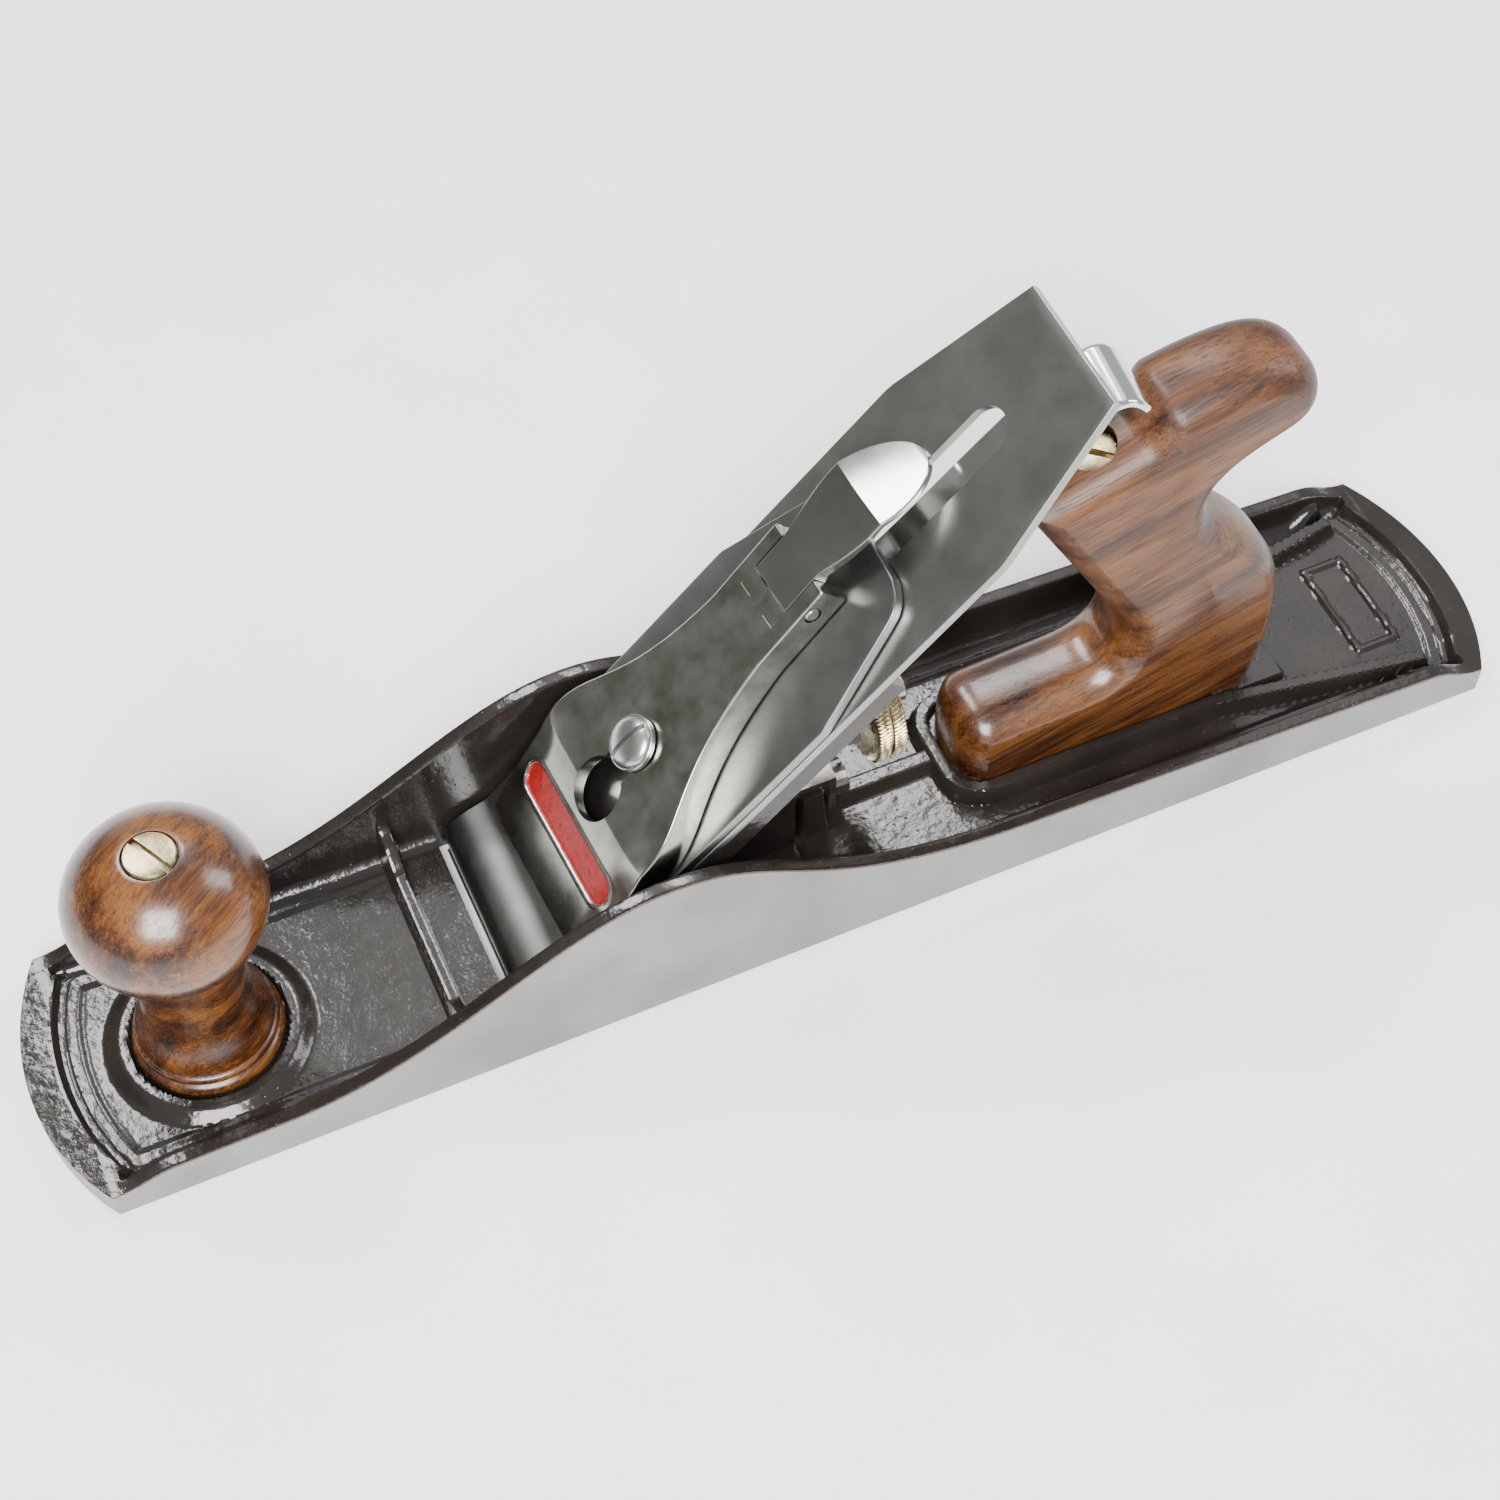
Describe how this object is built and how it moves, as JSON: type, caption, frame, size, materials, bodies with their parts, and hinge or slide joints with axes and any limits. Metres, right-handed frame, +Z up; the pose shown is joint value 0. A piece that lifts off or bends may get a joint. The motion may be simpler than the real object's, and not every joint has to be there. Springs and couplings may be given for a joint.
{
  "type": "hand plane",
  "caption": "Metal bench plane with a raised-cheek sole, sloping blade and cap, screw-set frog, depth wheel, turned wooden knob and shaped wooden tote.",
  "frame": {"origin": "middle of the sole's flat underside", "axes": "+X from toe to heel, +Y to the side away from the tote's near face, +Z up"},
  "size_m": [0.3556, 0.0636, 0.1353],
  "materials": {
    "japanned_iron": "gloss black-brown enamel over pitted iron, with sole and sides ground bright",
    "satin_steel": "fine ground satin steel",
    "machine_steel": "turned bright steel",
    "grey_iron": "as-cast grey iron",
    "nickel_plate": "polished nickel plate",
    "brass": "turned and knurled brass",
    "knob_wood": "high-gloss varnished hardwood",
    "tote_wood": "satin varnished hardwood"
  },
  "bodies": {
    "body": {"sole_casting": "japanned_iron", "frog_screw_near": "machine_steel", "frog_screw_far": "machine_steel", "frog_washer_near": "machine_steel", "frog_washer_far": "machine_steel", "knob": "knob_wood", "knob_stud": "machine_steel", "knob_nut": "brass", "tote": "tote_wood", "tote_rod": "machine_steel", "tote_nut": "brass"},
    "frog_set": {"frog": "japanned_iron", "frog_adjust_clip": "machine_steel", "frog_clip_screw": "machine_steel", "yoke_pin": "machine_steel", "lateral_pin": "machine_steel", "lever_cap_screw": "nickel_plate"},
    "frog_adjuster": {"frog_adjust_screw": "machine_steel"},
    "stud": {"depth_stud": "machine_steel"},
    "wheel": {"depth_wheel": "brass"},
    "yoke": {"yoke_lever": "grey_iron"},
    "lateral": {"lateral_lever": "nickel_plate", "lateral_roller": "machine_steel"},
    "iron_carrier": {"cap_iron_screw": "machine_steel"},
    "irons": {"blade": "satin_steel", "cap_iron": "satin_steel"},
    "cap": {"lever_cap": "nickel_plate", "cam_pin": "machine_steel", "cap_spring": "machine_steel", "spring_rivet": "machine_steel"},
    "cam": {"cam_lever": "nickel_plate"}
  },
  "joints": [
    {"name": "frog_slide", "type": "slide", "parent": "body", "child": "frog_set", "axis": [1, 0, 0], "range_m": [-0.001, 0.001]},
    {"name": "frog_screw_turn", "type": "hinge", "parent": "frog_set", "child": "frog_adjuster", "pos_m": [0.01, 0, 0.0134], "axis": [1, 0, 0], "range_deg": [-370, 370]},
    {"name": "depth_travel", "type": "slide", "parent": "frog_set", "child": "stud", "axis": [1, 0, 0], "range_m": [-0.0012, 0.0012]},
    {"name": "wheel_turn", "type": "hinge", "parent": "stud", "child": "wheel", "pos_m": [0.02, 0, 0.0398], "axis": [1, 0, 0], "range_deg": [-440, 440]},
    {"name": "yoke_rock", "type": "hinge", "parent": "frog_set", "child": "yoke", "pos_m": [0.00428, 0, 0.06081], "axis": [0, -1, 0], "range_deg": [-3.4, 3.4]},
    {"name": "blade_depth", "type": "slide", "parent": "frog_set", "child": "iron_carrier", "axis": [0.7071, 0, 0.7071], "range_m": [-0.00085, 0.00085]},
    {"name": "lateral_swing", "type": "hinge", "parent": "frog_set", "child": "lateral", "pos_m": [0.00541, 0, 0.07382], "axis": [-0.7071, 0, 0.7071], "range_deg": [-2.8, 13.2]},
    {"name": "blade_skew", "type": "hinge", "parent": "iron_carrier", "child": "irons", "pos_m": [-0.01693, 0, 0.05657], "axis": [-0.7071, 0, 0.7071], "range_deg": [-0.15, 0.62]},
    {"name": "lever_cap_slide", "type": "slide", "parent": "frog_set", "child": "cap", "axis": [0.7057, 0.0628, 0.7057], "range_m": [0, 0.014]},
    {"name": "cam_flip", "type": "hinge", "parent": "cap", "child": "cam", "pos_m": [0.00245, 0.00311, 0.08726], "axis": [0.0444, -0.998, 0.0444], "range_deg": [0, 95]}
  ],
  "couplings": [
    {"joint": "frog_screw_turn", "follows": "frog_slide", "rad_per_m": 6283.2},
    {"joint": "wheel_turn", "follows": "depth_travel", "rad_per_m": 6283.2},
    {"joint": "yoke_rock", "follows": "depth_travel", "rad_per_m": 47.594},
    {"joint": "blade_depth", "follows": "depth_travel", "ratio": -0.67584},
    {"joint": "blade_skew", "follows": "lateral_swing", "ratio": 0.045}
  ]
}
